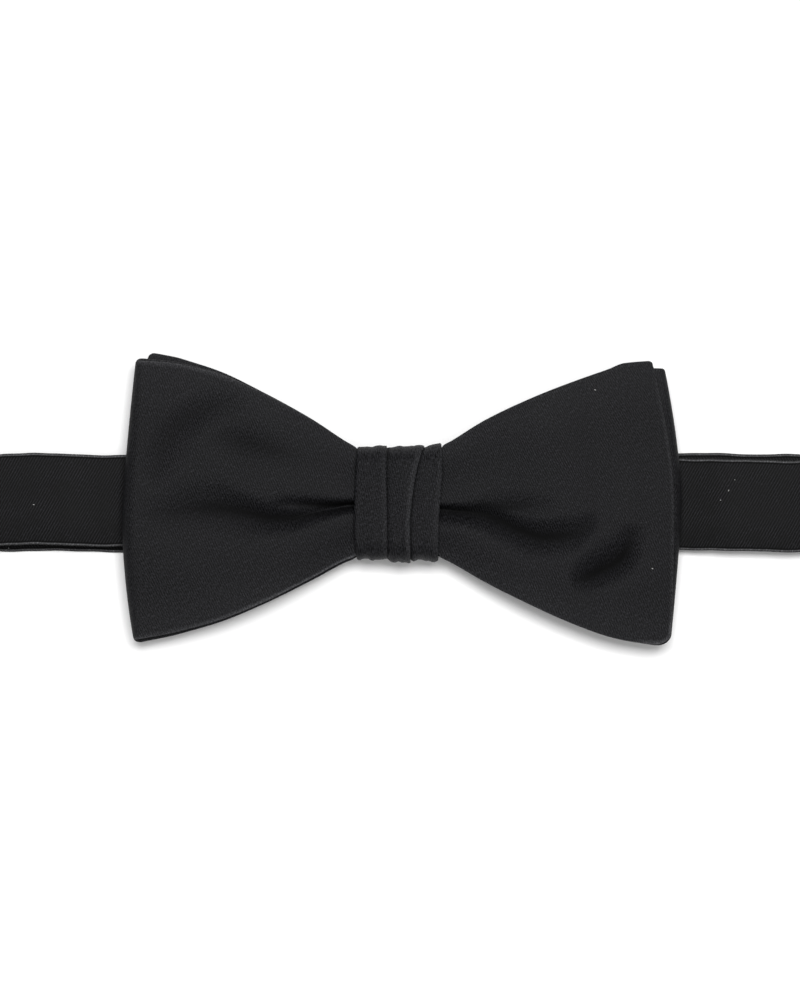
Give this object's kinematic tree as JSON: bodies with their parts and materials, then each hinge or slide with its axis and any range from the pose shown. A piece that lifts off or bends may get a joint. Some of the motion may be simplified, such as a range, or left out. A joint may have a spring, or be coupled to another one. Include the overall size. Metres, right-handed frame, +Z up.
{
  "type": "pre-tied bow tie",
  "caption": "Pre-tied butterfly bow tie in black satin: two folded strips crossed in a pleated knot on a closed neckband with a plain slide, lying face up.",
  "frame": {"origin": "middle of the part's bounding box, on the surface that the tie lies on", "axes": "+X along the neckband to the wearer's left wing, the right wing in the picture; +Y to the upper edges of the wings; +Z up, out of the bow's front face"},
  "size_m": [0.196, 0.0638, 0.0152],
  "materials": {
    "bow_satin": "black silk satin with a fine twill, low sheen",
    "wrap_satin": "the same black satin, pleated",
    "band_satin": "black satin strap with a diagonal twill",
    "clasp_steel": "plain nickel-plated steel"
  },
  "bodies": {
    "root": {"front_bow": "bow_satin", "back_bow": "bow_satin", "knot_wrap": "wrap_satin", "neckband": "band_satin", "neck_clasp": "clasp_steel"}
  },
  "joints": []
}
